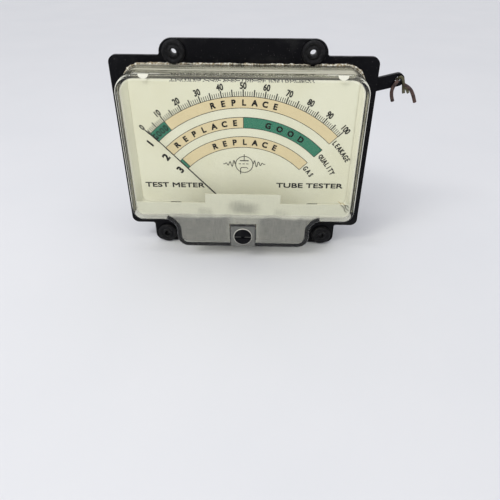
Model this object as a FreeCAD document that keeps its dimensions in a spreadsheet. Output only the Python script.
"""Indicating meter of a tube tester: a moving-coil panel meter with a clear cover.

Each sub-part is drawn in the dial's coordinates: x to the right, y up from the pointer's pivot, z out
of the dial towards the reader, with z = 0 on the dial's face.  One placement then stands the meter
upright on its foot, front towards -Y.  Every tool that cuts through a piece runs 1 mm past it.
"""
import FreeCAD, Part
import math
import os
import re

from FreeCAD import Placement, Rotation, Vector

# Driving dimensions in millimetres and degrees: alias, value, what it is.
SIZES = (
    ("pivot_height", 22.5, "height of the pivot above the foot"),
    ("dial_depth", 25.5, "distance of the dial's face in front of the foot's centre"),
    ("plate_back", -5.5, "z of the mounting frame's rear face"),
    ("plate_front", -3.0, "z of the mounting frame's front face"),
    ("plate_half", 78.8, "half width of the mounting frame"),
    ("plate_top", 105.2, "top of the frame's shoulders"),
    ("plate_low", -7.3, "bottom of the frame's main sheet"),
    ("plate_corner", 4.5, "corner radius of the main sheet"),
    ("plate_inner_corner", 1.5, "radius where the tabs leave the main sheet"),
    ("tab_half", 48.7, "half width of the upper tab"),
    ("tab_top", 114.4, "top of the upper tab"),
    ("tab_corner", 7.6, "corner radius of the upper tab"),
    ("ear_half", 63.2, "half width of the lower tab"),
    ("ear_low", -22.0, "bottom of the lower tab"),
    ("ear_corner", 5.5, "corner radius of the lower tab"),
    ("window_half", 33.0, "half width of the frame's window"),
    ("window_low", -9.0, "bottom of the frame's window"),
    ("window_top", 26.0, "top of the frame's window"),
    ("upper_grommet_x", 40.0, "upper grommets, from the middle"),
    ("upper_grommet_y", 107.4, "upper grommets, above the pivot"),
    ("lower_grommet_x", 54.6, "lower grommets, from the middle"),
    ("lower_grommet_y", -15.2, "lower grommets, below the pivot"),
    ("grommet_hole", 5.2, "radius of a grommet's hole in the frame"),
    ("grommet_radius", 6.7, "outer radius of a grommet"),
    ("grommet_bore", 1.9, "radius of a grommet's bore"),
    ("grommet_lip", 2.5, "thickness of each grommet flange"),
    ("grommet_round", 0.9, "rounding of a grommet's rims"),
    ("cover_half", 71.1, "half width of the cover"),
    ("cover_top", 100.3, "top of the cover"),
    ("cover_low", 8.4, "bottom of the cover's shoulders"),
    ("cover_front", 20.0, "z of the cover's front face"),
    ("cover_wall", 2.5, "wall of the cover"),
    ("cover_corner", 11.0, "radius of the cover's top corners"),
    ("shoulder_corner", 6.5, "radius of the cover's shoulder corners"),
    ("neck_radius", 8.0, "hollow radius between shoulder and lobe"),
    ("lobe_half", 43.6, "half width of the lobe under the cover"),
    ("lobe_low", -11.9, "bottom of the lobe"),
    ("lobe_corner", 7.5, "radius of the lobe's corners"),
    ("cover_round", 1.4, "rounding of the cover's front edge"),
    ("cement_inset", -0.8, "inset of the cement bead's outer edge, which lies outside the cover"),
    ("cement_clear", 0.3, "gap between the cement and a grommet"),
    ("cement_height", 0.9, "height of the cement bead"),
    ("boss_half", 8.4, "half width of the square boss behind the zero screw"),
    ("boss_top", 4.7, "top of the square boss"),
    ("boss_depth", 2.0, "how far the boss stands behind the front wall"),
    ("mask_inset", 2.9, "inset of the mask's edge from the cover's outline"),
    ("mask_gap", 0.4, "gap between the mask and the boss"),
    ("mask_air", 0.3, "gap between the mask and the cover's front wall"),
    ("mask_thick", 0.6, "thickness of the frosted mask"),
    ("mask_side_top", 19.9, "top edge of the mask at the sides"),
    ("mask_mid_top", 26.3, "top edge of the mask in the middle"),
    ("mask_mid_half", 24.0, "half width of the mask's raised middle"),
    ("dial_half", 67.8, "half width of the dial plate"),
    ("dial_top", 97.3, "top of the dial plate"),
    ("dial_low", 11.3, "bottom of the dial plate at the sides"),
    ("dial_thick", 1.0, "thickness of the dial plate"),
    ("dial_corner", 8.0, "radius of the dial plate's top corners"),
    ("tongue_half", 40.4, "half width of the dial plate's lower tongue"),
    ("tongue_low", 1.0, "bottom of the tongue"),
    ("notch_half", 24.0, "half width of the notch for the movement"),
    ("notch_top", 9.0, "top of the notch"),
    ("dial_screw_x", 58.6, "upper dial screws, from the middle"),
    ("dial_screw_y", 94.6, "upper dial screws, above the pivot"),
    ("low_screw_x", 37.0, "lower dial screws, from the middle"),
    ("low_screw_y", 5.0, "lower dial screws, above the pivot"),
    ("dial_head", 3.0, "head radius of a dial screw"),
    ("dial_head_height", 1.3, "height of a dial screw's head"),
    ("dial_shank", 1.2, "shank radius of a dial screw"),
    ("spacer_radius", 2.6, "radius of a dial spacer"),
    ("slot_half", 0.35, "half width of a small screw's slot"),
    ("small_head", 1.5, "height of a small screw's head"),
    ("swing_rest", 43.4, "angle at which the unpowered pointer rests"),
    ("pointer_low", 3.7, "z of the pointer's rear face"),
    ("pointer_thick", 0.35, "thickness of the pointer"),
    ("pointer_tip", 85.6, "length of the pointer from the pivot"),
    ("pointer_root", 1.0, "width of the pointer at its hub"),
    ("pointer_end", 0.4, "width of the pointer at its tip"),
    ("pointer_tail", 8.5, "length of the pointer's tail"),
    ("tail_half", 0.6, "half width of the pointer's tail and cross arms"),
    ("cross_half", 8.0, "half length of the pointer's cross arms"),
    ("tail_weight", 2.0, "radius of the weight on the pointer's tail"),
    ("tail_weight_length", 3.03, "length of the weight on the pointer's tail"),
    ("tail_weight_gap", 0.3, "tail left bare beyond its weight"),
    ("cross_weight", 1.1, "radius of the weights on the cross arms"),
    ("cross_weight_length", 2.0, "length of a weight on the cross arms"),
    ("cross_weight_inset", 1.5, "middle of a cross arm's weight, from the arm's end"),
    ("hub_radius", 2.6, "radius of the pointer's hub"),
    ("hub_back", 0.2, "hub behind the pointer's rear face"),
    ("hub_front", 0.6, "hub in front of the pointer's rear face"),
    ("staff_radius", 0.9, "radius of a staff"),
    ("staff_tip", 0.1, "radius of a staff's tip"),
    ("staff_cone", 1.5, "length of a staff's cone"),
    ("staff_engage", 0.4, "how far a staff's tip reaches past its bridge's inner face"),
    ("staff_pad", 0.6, "thickness of a staff's pad on the coil"),
    ("collet_radius", 1.2, "radius of a hairspring collet"),
    ("collet_lip", 0.2, "collet beyond its hairspring's tape"),
    ("stop_radius", 22.6, "distance of the pointer stops from the pivot"),
    ("stop_angle", 51.1, "angle of the pointer stops from upright"),
    ("stop_pin", 0.8, "radius of a pointer stop"),
    ("stop_top", 5.6, "z of the pointer stops' front ends"),
    ("core_radius", 10.4, "radius of the soft-iron core"),
    ("core_front", -11.6, "z of the core's front face"),
    ("core_back", -28.4, "z of the core's rear face"),
    ("core_bridge_half", 24.0, "half length of the bar that carries the core"),
    ("core_bridge_thick", 2.5, "thickness of that bar"),
    ("core_bridge_back", -24.0, "z of that bar's rear face"),
    ("core_bridge_front", -16.0, "z of that bar's front face"),
    ("core_stem", 3.0, "half width of that bar's stem"),
    ("core_screw_x", 18.5, "outer core screws, from the middle"),
    ("core_screw_side", 5.0, "end of an outer core screw above the pivot"),
    ("core_screw_mid", 4.0, "end of the middle core screw above the pivot"),
    ("core_shank", 1.1, "shank radius of a core screw"),
    ("core_head", 2.2, "head radius of a core screw"),
    ("former_half", 10.75, "inner half width of the coil former"),
    ("former_wall", 0.4, "thickness of the coil former"),
    ("coil_half", 12.5, "outer half width of the coil"),
    ("coil_band", 1.5, "half height of the coil's winding"),
    ("coil_front", -9.2, "z of the coil's front end"),
    ("coil_back", -30.8, "z of the coil's rear end"),
    ("former_front", -10.4, "z of the former's front end"),
    ("former_back", -29.6, "z of the former's rear end"),
    ("pole_bore", 13.4, "radius of the bore between the pole pieces"),
    ("pole_inner", 7.0, "inner edge of a pole piece"),
    ("pole_outer", 26.0, "outer edge of a pole piece"),
    ("pole_half", 12.0, "half height of a pole piece"),
    ("pole_front", -10.0, "z of the pole pieces' front face"),
    ("pole_back", -30.0, "z of the pole pieces' rear face"),
    ("pole_screw_x", 20.0, "pole screws, from the middle"),
    ("pole_screw_y", 8.0, "pole screws, above and below the pivot"),
    ("pole_screw_tip", -18.0, "z of the pole screws' ends"),
    ("pole_shank", 1.25, "shank radius of a pole screw"),
    ("pole_head", 2.1, "head radius of a pole screw"),
    ("magnet_outer", 38.0, "outer radius of the horseshoe magnet"),
    ("magnet_rise", 20.0, "centre of the magnet's arch above the pivot"),
    ("magnet_front", -12.0, "z of the magnet's front face"),
    ("magnet_back", -28.0, "z of the magnet's rear face"),
    ("base_half", 41.5, "half width of the movement plate"),
    ("base_low", -13.5, "bottom of the movement plate"),
    ("base_top", 34.0, "top of the movement plate"),
    ("base_front", -8.0, "z of the movement plate's front face"),
    ("base_bore", 14.5, "radius of the movement plate's hole"),
    ("base_screw_x", 37.5, "movement screws, from the middle"),
    ("base_screw_low", -9.0, "lower movement screws, from the pivot"),
    ("base_screw_top", 29.5, "upper movement screws, from the pivot"),
    ("base_shank", 1.4, "shank radius of a movement screw"),
    ("base_head", 2.4, "head radius of a movement screw"),
    ("base_head_height", 1.6, "height of a movement screw's head"),
    ("base_blind", 1.0, "frame left in front of a movement screw"),
    ("frame_boss", 4.0, "radius of the frame's bosses behind the window"),
    ("bridge_half", 23.0, "half length of a bridge"),
    ("bridge_width", 3.5, "half width of a bridge"),
    ("bridge_thick", 2.0, "thickness of a bridge"),
    ("bridge_front", 7.6, "z of the front bridge's rear face"),
    ("bridge_back", -35.0, "z of the rear bridge's front face"),
    ("bridge_shank", 1.2, "shank radius of a bridge screw"),
    ("bridge_head", 2.3, "head radius of a bridge screw"),
    ("front_tap", 1.0, "z of the front bridge screws' ends"),
    ("rear_tap", -31.5, "z of the rear bridge screws' ends"),
    ("post_x", 19.0, "bridge posts, from the middle"),
    ("post_radius", 3.0, "radius of a bridge post"),
    ("jewel_radius", 2.0, "radius of a jewel screw"),
    ("jewel_length", 5.2, "length of a jewel screw"),
    ("jewel_cup", 1.3, "mouth radius of a jewel's cup"),
    ("jewel_sink", 1.4, "depth of a jewel's cup"),
    ("jewel_pit", 0.2, "bottom radius of a jewel's cup"),
    ("jewel_reach", 0.8, "how far a jewel screw stands past its bridge"),
    ("jewel_slot", 0.8, "depth of a jewel screw's slot"),
    ("jewel_slot_half", 0.3, "half width of that slot"),
    ("jewel_nut", 3.2, "corner radius of a jewel screw's nut"),
    ("front_nut_gap", 0.2, "gap between the front nut and the regulator"),
    ("front_nut_height", 1.0, "height of the front jewel nut"),
    ("rear_nut_height", 1.2, "height of the rear jewel nut"),
    ("regulator_low", 9.9, "z of the regulator arm's rear face"),
    ("regulator_thick", 0.8, "thickness of the regulator arm"),
    ("regulator_ring", 4.0, "outer radius of the regulator's ring"),
    ("regulator_lap", 0.5, "where fork and tail start inside the ring, from its bore"),
    ("regulator_play", 0.05, "play of the regulator on the front jewel screw"),
    ("fork_half", 2.1, "half width of the regulator's fork"),
    ("fork_slot", 0.95, "half width of the fork's slot"),
    ("fork_end", 8.6, "reach of the fork below the pivot"),
    ("stake_low", 5.7, "inner edge of a hairspring stake"),
    ("stake_high", 7.0, "outer edge of a hairspring stake"),
    ("stake_half", 0.8, "half width of a hairspring stake"),
    ("rear_stake_thick", 1.0, "thickness of the rear stake's arm"),
    ("front_spring", 6.1, "z of the front hairspring's rear edge"),
    ("rear_spring", -32.8, "z of the rear hairspring's rear edge"),
    ("spring_turns", 6, "turns of a hairspring"),
    ("spring_turn", 0.70, "pitch of a hairspring's turns"),
    ("spring_tape", 0.2, "thickness of a hairspring's tape"),
    ("spring_width", 0.4, "width of a hairspring's tape"),
    ("zero_drop", 3.5, "zero screw below the pivot, and radius of its pin"),
    ("zero_head", 5.6, "radius of the zero screw's head"),
    ("zero_body", 1.25, "radius of the zero screw's shank"),
    ("zero_bore", 1.35, "radius of the zero screw's hole in the cover"),
    ("zero_dome", 1.2, "height of the zero screw's domed head"),
    ("zero_slot", 0.7, "half width of the zero screw's slot"),
    ("zero_lift", 0.1, "gap between the zero screw's head and the cover"),
    ("zero_round", 0.8, "rounding of the zero screw's head"),
    ("zero_tail", 1.9, "zero screw's shank behind the boss"),
    ("crank_radius", 5.5, "radius of the zero crank's disc"),
    ("crank_far", 1.7, "crank's rear face behind the boss"),
    ("crank_near", 0.4, "crank's front face behind the boss"),
    ("crank_pin", 0.75, "radius of the eccentric pin"),
    ("pin_past", 0.4, "how far the eccentric pin reaches behind the fork"),
    ("case_half", 45.0, "half width of the rear case"),
    ("case_top", 88.0, "top of the rear case"),
    ("case_back", -45.5, "z of the rear case's back"),
    ("case_wall", 2.0, "wall of the rear case"),
    ("case_corner", 6.0, "radius of the rear case's corners"),
    ("case_low_corner", 2.0, "radius of the rear case's lower corners"),
    ("case_post", 3.2, "radius of the case's screw posts"),
    ("case_screw_x", 38.5, "case screws, from the middle"),
    ("case_screw_low", -17.0, "lower case screws, from the pivot"),
    ("case_screw_top", 81.5, "upper case screws, from the pivot"),
    ("case_shank", 1.5, "radius of a case screw's shank"),
    ("case_head", 2.9, "radius of a case screw's head"),
    ("case_head_height", 1.8, "height of a case screw's head"),
    ("case_blind", 0.8, "frame left in front of a case screw"),
    ("stud_x", 24.0, "terminal studs, from the middle"),
    ("stud_y", 70.0, "terminal studs, above the pivot"),
    ("stud_radius", 2.0, "radius of a terminal stud's free end"),
    ("stud_shank", 2.2, "radius of a terminal stud inside its nuts"),
    ("stud_end", -60.0, "z of the terminal studs' rear ends"),
    ("stud_inside", 8.0, "stud inside the case's back wall"),
    ("bushing_radius", 5.0, "radius of a terminal bushing"),
    ("bushing_neck", 3.5, "radius of a bushing in the case's hole"),
    ("bushing_rim", 1.6, "thickness of a bushing's rim"),
    ("lug_thick", 0.6, "thickness of a solder lug"),
    ("lug_radius", 3.6, "radius of a solder lug's ring"),
    ("lug_half", 1.6, "half width of a solder lug's tag"),
    ("lug_length", 9.0, "reach of a solder lug's tag below its stud"),
    ("nut_radius", 4.3, "corner radius of a terminal nut"),
    ("inner_nut", 2.4, "height of a terminal nut inside the case"),
    ("outer_nut", 3.0, "height of a terminal nut outside the case"),
    ("arm_x", 91.2, "hole of the terminal arm, from the middle"),
    ("arm_y", 92.0, "hole of the terminal arm, above the pivot"),
    ("arm_half", 3.75, "half width of the terminal arm"),
    ("arm_length", 31.0, "length of the terminal arm from hole to root"),
    ("arm_thick", 2.6, "thickness of the terminal arm"),
    ("arm_slope", 14.1, "rise of the terminal arm, degrees"),
    ("arm_hole", 1.8, "radius of the hole in the terminal arm"),
    ("arm_screw_far", -28.0, "outer arm screw, from the arm's hole"),
    ("arm_screw_near", -20.0, "inner arm screw, from the arm's hole"),
    ("arm_shank", 1.2, "shank radius of an arm screw"),
    ("arm_head", 2.2, "head radius of an arm screw"),
    ("arm_head_height", 1.4, "height of an arm screw's head"),
    ("lead_radius", 1.05, "radius of a lead's insulation"),
    ("strand_radius", 0.95, "radius of the twisted bare strands"),
)
VALUES = {alias: value for alias, value, _ in SIZES}

doc = FreeCAD.newDocument("tube_tester_meter")
subparts = []


def fill_sheet():
    """The spreadsheet of driving dimensions: name, value and meaning in columns A to C."""
    sheet = doc.addObject("Spreadsheet::Sheet", "Sizes")
    for row, (alias, value, meaning) in enumerate(SIZES, start=1):
        sheet.set(f"A{row}", alias)
        sheet.set(f"B{row}", str(value))
        sheet.setAlias(f"B{row}", alias)
        sheet.set(f"C{row}", meaning)
    doc.recompute()


def bind(item, **expressions):
    """Bind properties to cells; a double underscore in a name stands for a dot."""
    for name, text in expressions.items():
        cells = re.sub(
            r"[a-z_]\w*",
            lambda word: "Sizes." + word[0] if word[0] in VALUES else word[0],
            str(text),
        )
        item.setExpression(name.replace("__", "."), cells)
    return item


def at(item, x="0", y="0", z="0"):
    """Bind an item's position."""
    return bind(item, Placement__Base__x=x, Placement__Base__y=y, Placement__Base__z=z)


def block(x, y, z):
    """A box between the low and high edge given for each axis."""
    item = doc.addObject("Part::Box", "block")
    bind(
        item,
        Length=f"({x[1]})-({x[0]})",
        Width=f"({y[1]})-({y[0]})",
        Height=f"({z[1]})-({z[0]})",
    )
    return at(item, x[0], y[0], z[0])


def rod(x, y, z, radius, angle="360"):
    """A cylinder along z between the two heights given."""
    item = doc.addObject("Part::Cylinder", "rod")
    bind(item, Radius=radius, Height=f"({z[1]})-({z[0]})", Angle=angle)
    return at(item, x, y, z[0])


def taper(x, y, z, radius, end_radius):
    """A cone along z between the two heights given."""
    item = doc.addObject("Part::Cone", "taper")
    bind(item, Radius1=radius, Radius2=end_radius, Height=f"({z[1]})-({z[0]})")
    return at(item, x, y, z[0])


def hexagon(x, y, z, radius):
    """A hexagonal prism along z between the two heights given."""
    item = doc.addObject("Part::Prism", "hexagon")
    item.Polygon = 6
    bind(item, Circumradius=radius, Height=f"({z[1]})-({z[0]})")
    return at(item, x, y, z[0])


def fuse(*items):
    """The items joined into one solid."""
    item = doc.addObject("Part::MultiFuse", "joined")
    item.Shapes = list(items)
    item.Refine = True
    return item


def cut(base, *tools):
    """The base with the tools taken away."""
    item = doc.addObject("Part::Cut", "cut")
    item.Base = base
    item.Tool = tools[0] if len(tools) == 1 else fuse(*tools)
    item.Refine = True
    return item


def overlap(base, tool):
    """What the two items share."""
    item = doc.addObject("Part::Common", "shared")
    item.Base = base
    item.Tool = tool
    return item


def group(*items):
    """Separate solids kept in one sub-part."""
    item = doc.addObject("Part::Compound", "group")
    item.Links = list(items)
    return item


def along_z(edge):
    """Whether an edge is straight and parallel to z."""
    if not isinstance(edge.Curve, Part.Line):
        return False
    return abs(edge.Curve.Direction.z) > 0.999


def rounded(base, radius_at):
    """Round the base's edges: radius_at gives an edge's radius, or 0 to leave it sharp."""
    doc.recompute()
    item = doc.addObject("Part::Fillet", "rounded")
    item.Base = base
    edges = []
    for index, edge in enumerate(base.Shape.Edges, start=1):
        radius = radius_at(edge)
        if radius > 0:
            edges.append((index, radius, radius))
    item.Edges = edges
    return item


def stand(item, label, turn=0.0, shift=(0.0, 0.0)):
    """Name a finished sub-part and stand it upright, first turned about the pivot or shifted."""
    item.Label = label
    upright = Placement(
        Vector(0, -VALUES["dial_depth"], VALUES["pivot_height"]),
        Rotation(Vector(1, 0, 0), 90),
    )
    local = Placement(Vector(shift[0], shift[1], 0), Rotation(Vector(0, 0, 1), turn))
    item.Placement = upright * local
    subparts.append(item)
    return item


def mirrored_points(x, *heights):
    """The same point left and right of the middle, for each height."""
    return [(f"{side}*{x}", y) for y in heights for side in ("-1", "1")]


def screw(x, y, seat, tip, shank, head, height, front=True):
    """A slotted screw along z: its head sits on the seat and its shank reaches the tip."""
    if front:
        top = (seat, f"{seat}+{height}")
        stem = (tip, seat)
        slot = (f"{seat}+{height}/2", f"{seat}+{height}+1")
    else:
        top = (f"{seat}-{height}", seat)
        stem = (seat, tip)
        slot = (f"{seat}-{height}-1", f"{seat}-{height}/2")
    solid = fuse(rod(x, y, top, head), rod(x, y, stem, shank))
    return cut(solid, block((f"{x}-{head}", f"{x}+{head}"), (f"{y}-slot_half", f"{y}+slot_half"), slot))


def tee(inset, z):
    """The cover's outline, drawn in by an inset and with rounded corners: a wide box with a lobe."""
    solid = fuse(
        block(
            (f"-cover_half+{inset}", f"cover_half-({inset})"),
            (f"cover_low+{inset}", f"cover_top-({inset})"),
            z,
        ),
        block(
            (f"-lobe_half+{inset}", f"lobe_half-({inset})"),
            (f"lobe_low+{inset}", "cover_top/2"),
            z,
        ),
    )
    step = VALUES.get(inset, 0.0)

    def radius_at(edge):
        if not along_z(edge):
            return 0
        x, y = abs(edge.CenterOfMass.x), edge.CenterOfMass.y
        if y > VALUES["cover_top"] - step - 1:
            return VALUES["cover_corner"] - step
        if x > VALUES["cover_half"] - step - 1:
            return VALUES["shoulder_corner"] - step
        if y < VALUES["lobe_low"] + step + 1:
            return VALUES["lobe_corner"] - step
        return VALUES["neck_radius"] + step

    return rounded(solid, radius_at)


def mounting_frame():
    """Black moulded sheet with an upper tab, a lower tab, a window and four grommet holes."""
    sheet = ("plate_back", "plate_front")
    solid = fuse(
        block(("-plate_half", "plate_half"), ("plate_low", "plate_top"), sheet),
        block(("-tab_half", "tab_half"), ("plate_top/2", "tab_top"), sheet),
        block(("-ear_half", "ear_half"), ("ear_low", "plate_top/2"), sheet),
    )

    def radius_at(edge):
        if not along_z(edge):
            return 0
        x, y = abs(edge.CenterOfMass.x), edge.CenterOfMass.y
        if y > VALUES["tab_top"] - 1:
            return VALUES["tab_corner"]
        if y < VALUES["ear_low"] + 1:
            return VALUES["ear_corner"]
        if x > VALUES["plate_half"] - 1:
            return VALUES["plate_corner"]
        return VALUES["plate_inner_corner"]

    outline = rounded(solid, radius_at)
    bosses = [
        rod(x, y, ("base_front", "plate_back"), "frame_boss")
        for x, y in mirrored_points("base_screw_x", "base_screw_low", "base_screw_top")
    ]
    holes = [
        rod(x, y, ("plate_back-1", "plate_front+1"), "grommet_hole") for x, y in grommet_centres()
    ]
    window = block(
        ("-window_half", "window_half"),
        ("window_low", "window_top"),
        ("plate_back-1", "plate_front+1"),
    )
    threads = [
        rod(x, y, ("base_front-1", "plate_front-base_blind"), "base_shank")
        for x, y in mirrored_points("base_screw_x", "base_screw_low", "base_screw_top")
    ]
    threads += [
        rod(x, y, ("plate_back-1", "plate_front-case_blind"), "case_shank")
        for x, y in mirrored_points("case_screw_x", "case_screw_low", "case_screw_top")
    ]
    stand(cut(fuse(outline, *bosses), window, *holes, *threads), "mounting_frame")


def grommet_centres():
    """The centres of the four grommets: upper pair, then lower pair, left before right."""
    upper = mirrored_points("upper_grommet_x", "upper_grommet_y")
    return upper + mirrored_points("lower_grommet_x", "lower_grommet_y")


def grommets():
    """Four rubber grommets, each gripping the frame between its two flanges."""
    labels = (
        "grommet_upper_left",
        "grommet_upper_right",
        "grommet_lower_left",
        "grommet_lower_right",
    )
    for label, (x, y) in zip(labels, grommet_centres()):
        solid = fuse(
            rod(x, y, ("plate_back-grommet_lip", "plate_back"), "grommet_radius"),
            rod(x, y, ("plate_back", "plate_front"), "grommet_hole"),
            rod(x, y, ("plate_front", "plate_front+grommet_lip"), "grommet_radius"),
        )
        lips = VALUES["plate_back"] - VALUES["grommet_lip"], VALUES["plate_front"] + VALUES["grommet_lip"]

        def radius_at(edge, lips=lips):
            on_rim = min(abs(edge.BoundBox.ZMax - lip) for lip in lips) < 0.01
            flat = edge.BoundBox.ZLength < 0.01
            return VALUES["grommet_round"] if on_rim and flat else 0

        body = rounded(solid, radius_at)
        bore = rod(x, y, ("plate_back-grommet_lip-1", "plate_front+grommet_lip+1"), "grommet_bore")
        stand(cut(body, bore), label)


def front_cover():
    """Clear moulded shell: a front wall, side walls and a boss with the zero screw's hole."""
    outer = tee("0", ("plate_front", "cover_front"))

    def radius_at(edge):
        flat = edge.BoundBox.ZLength < 0.01
        return VALUES["cover_round"] if flat and edge.BoundBox.ZMax > VALUES["cover_front"] - 0.01 else 0

    shell = cut(
        rounded(outer, radius_at),
        tee("cover_wall", ("plate_front-1", "cover_front-cover_wall")),
    )
    inside = "cover_front-cover_wall"
    boss = block(
        ("-boss_half", "boss_half"),
        ("lobe_low+cover_wall/2", "boss_top"),
        (f"{inside}-boss_depth", inside),
    )
    bore = rod("0", "-zero_drop", (f"{inside}-boss_depth-1", "cover_front+1"), "zero_bore")
    stand(cut(fuse(shell, boss), bore), "front_cover")


def cover_cement():
    """Bead of old cement in the corner between the cover's foot and the frame."""
    z = ("plate_front", "plate_front+cement_height")
    wide = tee("cement_inset", z)
    clear = [
        rod(x, y, ("plate_front-1", "plate_front+cement_height+1"), "grommet_radius+cement_clear")
        for x, y in grommet_centres()
    ]
    inner = tee("0", ("plate_front-1", "plate_front+cement_height+1"))
    stand(cut(wide, inner, *clear), "cover_cement")


def frosted_mask():
    """Frosted sheet behind the lower part of the cover, stepped up in the middle."""
    back = "cover_front-cover_wall-mask_air-mask_thick"
    solid = tee("mask_inset", (back, f"{back}+mask_thick"))
    deep = (f"{back}-1", "cover_front")
    keep = fuse(
        block(("-cover_half", "cover_half"), ("2*lobe_low", "mask_side_top"), deep),
        block(("-mask_mid_half", "mask_mid_half"), ("2*lobe_low", "mask_mid_top"), deep),
    )
    gap = block(("-boss_half-mask_gap", "boss_half+mask_gap"), ("2*lobe_low", "boss_top+mask_gap"), deep)
    stand(cut(overlap(solid, keep), gap), "frosted_mask")


def dial():
    """Dial plate with its notch, on four spacers, held by four screws."""
    z = ("-dial_thick", "0")
    solid = fuse(
        block(("-dial_half", "dial_half"), ("dial_low", "dial_top"), z),
        block(("-tongue_half", "tongue_half"), ("tongue_low", "dial_top/2"), z),
    )

    def radius_at(edge):
        if not along_z(edge):
            return 0
        high = edge.CenterOfMass.y > VALUES["dial_top"] - 1
        return VALUES["dial_corner"] if high else VALUES["shoulder_corner"] - VALUES["cover_wall"]

    centres = mirrored_points("dial_screw_x", "dial_screw_y")
    centres += mirrored_points("low_screw_x", "low_screw_y")
    notch = block(("-notch_half", "notch_half"), ("tongue_low-1", "notch_top"), ("-dial_thick-1", "1"))
    holes = [rod(x, y, ("-dial_thick-1", "1"), "dial_shank") for x, y in centres]
    pins = [rod(x, y, ("-dial_thick-1", "1"), "stop_pin") for x, y in stop_centres()]
    stand(cut(rounded(solid, radius_at), notch, *holes, *pins), "dial_plate")
    spacers = [
        cut(
            rod(x, y, ("plate_front", "-dial_thick"), "spacer_radius"),
            rod(x, y, ("plate_front-1", "0"), "dial_shank"),
        )
        for x, y in centres
    ]
    stand(group(*spacers), "dial_spacers")
    screws = [
        screw(x, y, "0", "plate_front", "dial_shank", "dial_head", "dial_head_height")
        for x, y in centres
    ]
    stand(group(*screws), "dial_screws")


def stop_centres():
    """Where the two pointer stops stand on the dial."""
    up = "stop_radius*cos(stop_angle*1deg)"
    out = "stop_radius*sin(stop_angle*1deg)"
    return mirrored_points(out, up)


def pointer_stops():
    """Two pins on the dial that end the pointer's swing."""
    pins = [rod(x, y, ("-dial_thick", "stop_top"), "stop_pin") for x, y in stop_centres()]
    stand(group(*pins), "pointer_stops")


def pointer():
    """Pointer with hub, tapered blade, tail and cross arms, drawn upright and turned to rest."""
    z = ("pointer_low", "pointer_low+pointer_thick")
    across = ("-tail_half", "tail_half")
    blade = doc.addObject("Part::Wedge", "blade")
    bind(
        blade,
        Xmin="-pointer_root/2",
        Xmax="pointer_root/2",
        X2min="-pointer_end/2",
        X2max="pointer_end/2",
        Ymin="hub_radius/2",
        Ymax="pointer_tip",
        Zmin="0",
        Zmax="pointer_thick",
        Z2min="0",
        Z2max="pointer_thick",
    )
    at(blade, z="pointer_low")
    solid = fuse(
        rod("0", "0", ("pointer_low-hub_back", "pointer_low+hub_front"), "hub_radius"),
        blade,
        block(across, ("-pointer_tail", "-hub_radius/2"), z),
        block(("-cross_half", "cross_half"), across, z),
    )
    bore = rod("0", "0", ("pointer_low-1", "pointer_low+1"), "staff_radius")
    stand(cut(solid, bore), "pointer", turn=VALUES["swing_rest"])
    slide = doc.addObject("Part::Cylinder", "tail_weight")
    bind(slide, Radius="tail_weight", Height="tail_weight_length")
    slide.Placement = Placement(Vector(0, 0, 0), Rotation(Vector(1, 0, 0), 90))
    middle = "pointer_low+pointer_thick/2"
    at(slide, "0", "-pointer_tail+tail_weight_length+tail_weight_gap", middle)
    weights = [cut(slide, block(across, ("-pointer_tail", "0"), z))]
    for side in ("-1", "1"):
        nut = doc.addObject("Part::Cylinder", "cross_weight")
        bind(nut, Radius="cross_weight", Height="cross_weight_length")
        nut.Placement = Placement(Vector(0, 0, 0), Rotation(Vector(0, 1, 0), 90))
        at(nut, f"{side}*(cross_half-cross_weight_inset)-cross_weight_length/2", "0", middle)
        weights.append(cut(nut, block(("-cross_half", "cross_half"), across, z)))
    stand(group(*weights), "balance_weights", turn=VALUES["swing_rest"])


def moving_coil():
    """Coil wound on an aluminium former that turns round the core, on a front and a rear staff."""
    wide = ("-coil_band", "coil_band")
    inner = block(
        ("-former_half", "former_half"),
        ("-coil_band-1", "coil_band+1"),
        ("former_back+former_wall", "former_front-former_wall"),
    )
    outer = "former_half+former_wall"
    former = block((f"-({outer})", outer), wide, ("former_back", "former_front"))
    turn = VALUES["swing_rest"]
    stand(cut(former, inner), "coil_former", turn=turn)
    coil = block(("-coil_half", "coil_half"), wide, ("coil_back", "coil_front"))
    hollow = block((f"-({outer})", outer), ("-coil_band-1", "coil_band+1"), ("former_back", "former_front"))
    stand(cut(coil, hollow), "moving_coil", turn=turn)
    tip = "bridge_front+staff_engage"
    front = fuse(
        rod("0", "0", ("coil_front", "coil_front+staff_pad"), "coil_band"),
        rod("0", "0", ("coil_front", f"{tip}-staff_cone"), "staff_radius"),
        rod("0", "0", ("front_spring-collet_lip", "front_spring+spring_width"), "collet_radius"),
        taper("0", "0", (f"{tip}-staff_cone", tip), "staff_radius", "staff_tip"),
    )
    stand(front, "front_staff", turn=turn)
    tip = "bridge_back-staff_engage"
    rear = fuse(
        rod("0", "0", ("coil_back-staff_pad", "coil_back"), "coil_band"),
        rod("0", "0", (f"{tip}+staff_cone", "coil_back"), "staff_radius"),
        rod("0", "0", ("rear_spring-collet_lip", "rear_spring+spring_width"), "collet_radius"),
        taper("0", "0", (tip, f"{tip}+staff_cone"), "staff_tip", "staff_radius"),
    )
    stand(rear, "rear_staff", turn=turn)


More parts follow.
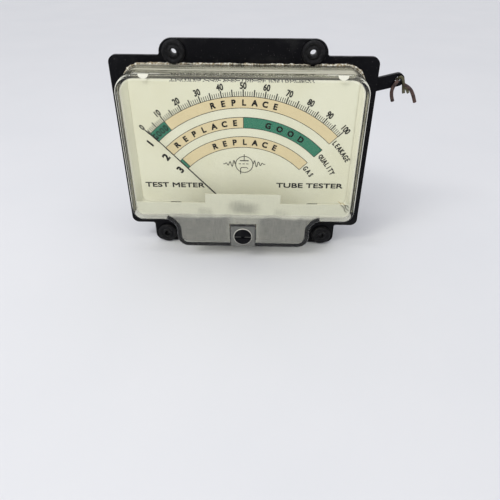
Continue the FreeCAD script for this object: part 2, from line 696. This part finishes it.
def magnet_system():
    """Horseshoe magnet, two pole pieces and the soft-iron core between them."""
    z = ("magnet_back", "magnet_front")
    arch = cut(
        rod("0", "magnet_rise", z, "magnet_outer", "180"),
        rod("0", "magnet_rise", ("magnet_back-1", "magnet_front+1"), "pole_outer"),
    )
    legs = [
        block(("-magnet_outer", "-pole_outer"), ("-pole_half", "magnet_rise"), z),
        block(("pole_outer", "magnet_outer"), ("-pole_half", "magnet_rise"), z),
    ]
    stand(fuse(arch, *legs), "magnet")
    for side, label in (("-1", "pole_piece_left"), ("1", "pole_piece_right")):
        edges = ("pole_inner", "pole_outer") if side == "1" else ("-pole_outer", "-pole_inner")
        solid = block(edges, ("-pole_half", "pole_half"), ("pole_back", "pole_front"))
        tools = [rod("0", "0", ("pole_back-1", "pole_front+1"), "pole_bore")]
        taps = [y for x, y in pole_screw_centres() if x.startswith(side + "*")]
        tools += [rod(f"{side}*pole_screw_x", y, ("pole_screw_tip-1", "0"), "pole_shank") for y in taps]
        tools.append(upright_rod(f"{side}*core_screw_x", "core_screw_side", "pole_half+1", "core_shank"))
        stand(cut(solid, *tools), label)
    core = rod("0", "0", ("core_back", "core_front"), "core_radius")
    stand(cut(core, upright_rod("0", "core_screw_mid", "core_radius+1", "core_shank")), "core")
    z = ("core_bridge_back", "core_bridge_front")
    seat = "pole_half+core_bridge_thick"
    across = block(("-core_bridge_half", "core_bridge_half"), ("pole_half", seat), z)
    stem = block(("-core_stem", "core_stem"), ("core_radius-1", "pole_half+1"), z)
    room = rod("0", "0", ("core_bridge_back-1", "core_bridge_front+1"), "core_radius")
    ends = ("-core_screw_x", "0", "core_screw_x")
    holes = [upright_rod(x, "core_screw_mid", f"{seat}+1", "core_shank") for x in ends]
    stand(cut(cut(fuse(across, stem), room), *holes), "core_bridge")
    screws = []
    for x, low in zip(ends, ("core_screw_side", "core_screw_mid", "core_screw_side")):
        head = upright_rod(x, seat, f"{seat}+small_head", "core_head")
        screws.append(fuse(head, upright_rod(x, low, seat, "core_shank")))
    stand(group(*screws), "core_screws")
    bolts = [
        screw(x, y, "base_front", "pole_screw_tip", "pole_shank", "pole_head", "small_head")
        for x, y in pole_screw_centres()
    ]
    stand(group(*bolts), "pole_screws")


def pole_screw_centres():
    """Where the four pole screws hold the pole pieces to the movement plate."""
    return mirrored_points("pole_screw_x", "-pole_screw_y", "pole_screw_y")


def upright_rod(x, low, high, radius):
    """A cylinder along y, at the middle of the core's depth."""
    item = doc.addObject("Part::Cylinder", "upright_rod")
    bind(item, Radius=radius, Height=f"({high})-({low})")
    item.Placement = Placement(Vector(0, 0, 0), Rotation(Vector(1, 0, 0), -90))
    return at(item, x, low, "(core_front+core_back)/2")


def movement_plate():
    """Plate behind the frame's window that carries the magnet system, with its screws."""
    z = ("pole_front", "base_front")
    solid = block(("-base_half", "base_half"), ("base_low", "base_top"), z)
    deep = ("pole_front-1", "base_front+1")
    centres = mirrored_points("base_screw_x", "base_screw_low", "base_screw_top")
    holes = [rod("0", "0", deep, "base_bore")]
    holes += [rod(x, y, deep, "base_shank") for x, y in centres]
    holes += [rod(x, y, deep, "pole_shank") for x, y in pole_screw_centres()]
    stand(cut(solid, *holes), "movement_plate")
    tip = "plate_front-base_blind"
    screws = [
        screw(x, y, "pole_front", tip, "base_shank", "base_head", "base_head_height", front=False)
        for x, y in centres
    ]
    stand(group(*screws), "movement_screws")


def bridges():
    """Front and rear bridge with their posts, screws, jewel screws and lock nuts."""
    sides = ("-post_x", "post_x")
    bolts = []
    for name, low, foot, front in (
        ("front", "bridge_front", "base_front", True),
        ("rear", "bridge_back-bridge_thick", "pole_back", False),
    ):
        bar = block(
            ("-bridge_half", "bridge_half"),
            ("-bridge_width", "bridge_width"),
            (low, f"{low}+bridge_thick"),
        )
        deep = (f"{low}-1", f"{low}+bridge_thick+1")
        holes = [rod(x, "0", deep, "bridge_shank") for x in sides]
        stand(cut(bar, rod("0", "0", deep, "jewel_radius"), *holes), f"{name}_bridge")
        span = (foot, "bridge_front") if front else ("bridge_back", foot)
        tap = ("front_tap", "bridge_front+1") if front else ("bridge_back-1", "rear_tap")
        posts = [cut(rod(x, "0", span, "post_radius"), rod(x, "0", tap, "bridge_shank")) for x in sides]
        stand(group(*posts), f"{name}_bridge_posts")
        seat = "bridge_front+bridge_thick" if front else low
        end = "front_tap" if front else "rear_tap"
        bolts += [
            screw(x, "0", seat, end, "bridge_shank", "bridge_head", "small_head", front=front)
            for x in sides
        ]
        jewel(name, front)
    stand(group(*bolts), "bridge_screws")


def jewel(name, front):
    """A jewel screw with its conical cup and driver slot, and the nut that locks it."""
    if front:
        start = "bridge_front-jewel_reach"
        body = (start, f"{start}+jewel_length")
        cup = taper("0", "0", (start, f"{start}+jewel_sink"), "jewel_cup", "jewel_pit")
        slot = (f"{start}+jewel_length-jewel_slot", f"{start}+jewel_length+1")
        low = "regulator_low+regulator_thick+front_nut_gap"
        nut = (low, f"{low}+front_nut_height")
    else:
        start = "bridge_back+jewel_reach"
        body = (f"{start}-jewel_length", start)
        cup = taper("0", "0", (f"{start}-jewel_sink", start), "jewel_pit", "jewel_cup")
        slot = (f"{start}-jewel_length-1", f"{start}-jewel_length+jewel_slot")
        nut = ("bridge_back-bridge_thick-rear_nut_height", "bridge_back-bridge_thick")
    driver = block(("-jewel_radius", "jewel_radius"), ("-jewel_slot_half", "jewel_slot_half"), slot)
    stand(cut(rod("0", "0", body, "jewel_radius"), cup, driver), f"{name}_jewel_screw")
    deep = (f"{nut[0]}-1", f"{nut[1]}+1")
    lock = cut(hexagon("0", "0", nut, "jewel_nut"), rod("0", "0", deep, "jewel_radius"))
    stand(lock, f"{name}_jewel_nut")


def regulator():
    """Regulator arm: a ring round the front jewel, a fork below it and a stake for the hairspring."""
    z = ("regulator_low", "regulator_low+regulator_thick")
    ring = rod("0", "0", z, "regulator_ring")
    fork = block(("-fork_half", "fork_half"), ("-fork_end", "-jewel_radius-regulator_lap"), z)
    tail = block(("-stake_half", "stake_half"), ("jewel_radius+regulator_lap", "stake_high"), z)
    stake = block(
        ("-stake_half", "stake_half"),
        ("stake_low", "stake_high"),
        ("front_spring", "regulator_low+regulator_thick"),
    )
    deep = ("regulator_low-1", "regulator_low+regulator_thick+1")
    bore = rod("0", "0", deep, "jewel_radius+regulator_play")
    slot = block(("-fork_slot", "fork_slot"), ("-fork_end-1", "-fork_end/2"), deep)
    stand(cut(fuse(ring, fork, tail, stake), bore, slot), "regulator_arm")
    foot = "bridge_back-rear_stake_thick"
    wide = ("-stake_half", "stake_half")
    arm = block(wide, ("bridge_width", "stake_high"), (foot, "bridge_back"))
    post = block(wide, ("stake_low", "stake_high"), (foot, "rear_spring+spring_width"))
    stand(fuse(arm, post), "rear_spring_stake")


def hairspring(label, low):
    """Flat spiral spring of semicircles whose centres step from side to side."""
    half_tape = VALUES["spring_tape"] / 2
    step = VALUES["spring_turn"] / 2
    outer_end = VALUES["stake_low"] - half_tape
    rows = []
    for offset in (-half_tape, half_tape):
        arcs = []
        for index in range(2 * VALUES["spring_turns"]):
            centre = 0.0 if index % 2 == 0 else -step
            radius = outer_end - index * step + offset
            side = 1 if index % 2 == 0 else -1
            arcs.append(
                Part.Arc(
                    Vector(0, centre + side * radius, low),
                    Vector(side * radius, centre, low),
                    Vector(0, centre - side * radius, low),
                ).toShape()
            )
        rows.append(arcs)
    inner, outer = rows
    ends = [
        Part.LineSegment(inner[0].Vertexes[0].Point, outer[0].Vertexes[0].Point).toShape(),
        Part.LineSegment(inner[-1].Vertexes[-1].Point, outer[-1].Vertexes[-1].Point).toShape(),
    ]
    loop = Part.Wire(Part.__sortEdges__(inner + outer + ends))
    item = doc.addObject("Part::Feature", "spiral")
    item.Shape = Part.Face(loop).extrude(Vector(0, 0, VALUES["spring_width"]))
    stand(item, label)


def zero_adjuster():
    """Domed, slotted zero screw in the cover and the crank whose pin moves the regulator's fork."""
    centre = "-zero_drop"
    back = "cover_front-cover_wall-boss_depth"
    seat = "cover_front+zero_lift"
    body = rod("0", centre, (f"{back}-zero_tail", seat), "zero_body")
    head = rod("0", centre, (seat, f"{seat}+zero_dome"), "zero_head")

    def radius_at(edge):
        flat = edge.BoundBox.ZLength < 0.01
        top = VALUES["cover_front"] + VALUES["zero_lift"] + VALUES["zero_dome"]
        return VALUES["zero_round"] if flat and abs(edge.BoundBox.ZMax - top) < 0.01 else 0

    slot = block(
        ("-zero_head-1", "zero_head+1"),
        (f"{centre}-zero_slot", f"{centre}+zero_slot"),
        (seat, f"{seat}+zero_dome+1"),
    )
    solid = cut(fuse(rounded(head, radius_at), body), slot)
    stand(solid, "zero_screw")
    disc = rod("0", centre, (f"{back}-crank_far", f"{back}-crank_near"), "crank_radius")
    pin = rod("0", "-2*zero_drop", ("regulator_low-pin_past", f"{back}-crank_far"), "crank_pin")
    bore = rod("0", centre, (f"{back}-zero_tail-1", back), "zero_body")
    stand(cut(fuse(disc, pin), bore), "zero_crank")


def rear_case():
    """Black moulded case behind the frame, open to the front, with four screw posts and screws."""
    outer = block(("-case_half", "case_half"), ("-pivot_height", "case_top"), ("case_back", "plate_back"))

    def radius_at(edge):
        if not along_z(edge):
            return 0
        high = edge.CenterOfMass.y > 0
        return VALUES["case_corner"] if high else VALUES["case_low_corner"]

    room = block(
        ("-case_half+case_wall", "case_half-case_wall"),
        ("-pivot_height+case_wall", "case_top-case_wall"),
        ("case_back+case_wall", "plate_back+1"),
    )
    centres = mirrored_points("case_screw_x", "case_screw_low", "case_screw_top")
    posts = [rod(x, y, ("case_back+case_wall/2", "plate_back"), "case_post") for x, y in centres]
    holes = [rod(x, y, ("case_back-1", "plate_back+1"), "case_shank") for x, y in centres]
    holes += [
        rod(x, "stud_y", ("case_back-1", "case_back+case_wall+1"), "bushing_neck")
        for x in ("-stud_x", "stud_x")
    ]
    shell = cut(rounded(outer, radius_at), room)
    stand(cut(fuse(shell, *posts), *holes), "rear_case")
    tip = "plate_front-case_blind"
    screws = [
        screw(x, y, "case_back", tip, "case_shank", "case_head", "case_head_height", front=False)
        for x, y in centres
    ]
    stand(group(*screws), "case_screws")


def terminals():
    """Two threaded studs through the case's back, each with bushing, lug and nuts."""
    inside, outside = "case_back+case_wall", "case_back-bushing_rim-outer_nut"
    lug_z = (f"{inside}+bushing_rim", f"{inside}+bushing_rim+lug_thick")
    nut_ends = ((lug_z[1], f"{lug_z[1]}+inner_nut"), (outside, f"{outside}+outer_nut"))
    studs, bushings, lugs, nuts = [], [], [], []
    for x in ("-stud_x", "stud_x"):
        free_end = rod(x, "stud_y", ("stud_end", outside), "stud_radius")
        shank = rod(x, "stud_y", (outside, f"{inside}+stud_inside"), "stud_shank")
        studs.append(fuse(free_end, shank))
        sleeve = fuse(
            rod(x, "stud_y", ("case_back-bushing_rim", "case_back"), "bushing_radius"),
            rod(x, "stud_y", ("case_back", inside), "bushing_neck"),
            rod(x, "stud_y", (inside, f"{inside}+bushing_rim"), "bushing_radius"),
        )
        deep = ("case_back-bushing_rim-1", f"{inside}+bushing_rim+1")
        bushings.append(cut(sleeve, rod(x, "stud_y", deep, "stud_shank")))
        lug = fuse(
            rod(x, "stud_y", lug_z, "lug_radius"),
            block((f"{x}-lug_half", f"{x}+lug_half"), ("stud_y-lug_length", "stud_y"), lug_z),
        )
        lugs.append(cut(lug, rod(x, "stud_y", (inside, f"{lug_z[1]}+1"), "stud_shank")))
        for low, high in nut_ends:
            hole = rod(x, "stud_y", (f"{low}-1", f"{high}+1"), "stud_shank")
            nuts.append(cut(hexagon(x, "stud_y", (low, high), "nut_radius"), hole))
    stand(group(*studs), "terminal_studs")
    stand(group(*bushings), "terminal_bushings")
    stand(group(*lugs), "terminal_lugs")
    stand(group(*nuts), "terminal_nuts")


def terminal_arm():
    """Black strip screwed behind the frame, rising to the right, with a hole near its round end."""
    z = ("plate_back-arm_thick", "plate_back")
    strip = fuse(
        rod("0", "0", z, "arm_half"),
        block(("-arm_length", "0"), ("-arm_half", "arm_half"), z),
    )
    screws_x = ("arm_screw_far", "arm_screw_near")
    deep = ("plate_back-arm_thick-1", "plate_back+1")
    holes = [rod(x, "0", deep, "arm_shank") for x in screws_x] + [rod("0", "0", deep, "arm_hole")]
    place = {"turn": VALUES["arm_slope"], "shift": (VALUES["arm_x"], VALUES["arm_y"])}
    stand(cut(strip, *holes), "terminal_arm", **place)
    screws = [
        screw(x, "0", z[0], "plate_back", "arm_shank", "arm_head", "arm_head_height", front=False)
        for x in screws_x
    ]
    stand(group(*screws), "arm_screws", **place)


def tube_along(points, radius):
    """A round tube along straight runs joined by tangent arcs."""
    corners = [Vector(*point) for point in points]
    edges = []
    start = corners[0]
    for before, corner, after in zip(corners, corners[1:], corners[2:]):
        back, on = before - corner, after - corner
        half_turn = (math.pi - back.getAngle(on)) / 2
        reach = 0.45 * min(back.Length, on.Length)
        enter = corner + back * (reach / back.Length)
        leave = corner + on * (reach / on.Length)
        inward = (back / back.Length + on / on.Length).normalize()
        bend = reach / math.tan(half_turn)
        middle = corner + inward * (bend / math.cos(half_turn) - bend)
        edges.append(Part.LineSegment(start, enter).toShape())
        edges.append(Part.Arc(enter, middle, leave).toShape())
        start = leave
    edges.append(Part.LineSegment(start, corners[-1]).toShape())
    path = Part.Wire(edges)
    first = corners[1] - corners[0]
    ring = Part.Wire(Part.Circle(corners[0], first, radius).toShape())
    return path.makePipeShell([ring], True, False)


def leads():
    """Two cut lead ends and the bare strands that pass through the arm's hole and hold them."""
    lead, strand = VALUES["lead_radius"], VALUES["strand_radius"]
    left = (
        (91.0, 92.2, -4.3),
        (88.9, 88.9, -4.2),
        (88.1, 86.1, -4.0),
        (88.4, 83.2, -3.8),
        (89.6, 79.9, -3.8),
    )
    right = (
        (94.9, 89.5, -4.6),
        (97.5, 88.2, -4.3),
        (99.6, 86.4, -4.2),
        (101.5, 83.2, -4.2),
        (103.1, 79.3, -4.4),
    )
    hook = (
        (90.9, 91.6, -10.0),
        (91.0, 92.6, -5.4),
        (91.8, 94.2, -3.4),
        (93.6, 92.9, -3.7),
        (94.5, 89.6, -4.6),
        (95.6, 84.4, -4.6),
    )
    end = ((94.6, 89.3, -4.6), (96.4, 87.5, -4.2), (98.1, 84.6, -4.2))
    shapes = {
        "lead_left": tube_along(left, lead),
        "lead_right": tube_along(right, lead),
        "lead_strands": tube_along(hook, strand).fuse(tube_along(end, strand)),
    }
    for label, shape in shapes.items():
        item = doc.addObject("Part::Feature", "lead")
        item.Shape = shape
        stand(item, label)


fill_sheet()
mounting_frame()
grommets()
front_cover()
cover_cement()
frosted_mask()
dial()
pointer_stops()
pointer()
moving_coil()
magnet_system()
movement_plate()
bridges()
regulator()
hairspring("front_hairspring", VALUES["front_spring"])
hairspring("rear_hairspring", VALUES["rear_spring"])
zero_adjuster()
rear_case()
terminals()
terminal_arm()
leads()
doc.recompute()

for item in doc.Objects:
    if "Invalid" in item.State or "Error" in item.State:
        raise RuntimeError(f"{item.Name} ({item.Label}) failed: {item.State}")
for item in subparts:
    if item.Shape.isNull() or not item.Shape.isValid() or not item.Shape.Solids:
        raise RuntimeError(f"{item.Label} has no valid solid")

os.makedirs("parts", exist_ok=True)
for item in subparts:
    item.Shape.exportStep(os.path.join("parts", item.Label + ".step"))
    print(f"{item.Label}: {len(item.Shape.Solids)} solids, {item.Shape.Volume:.1f} mm3")
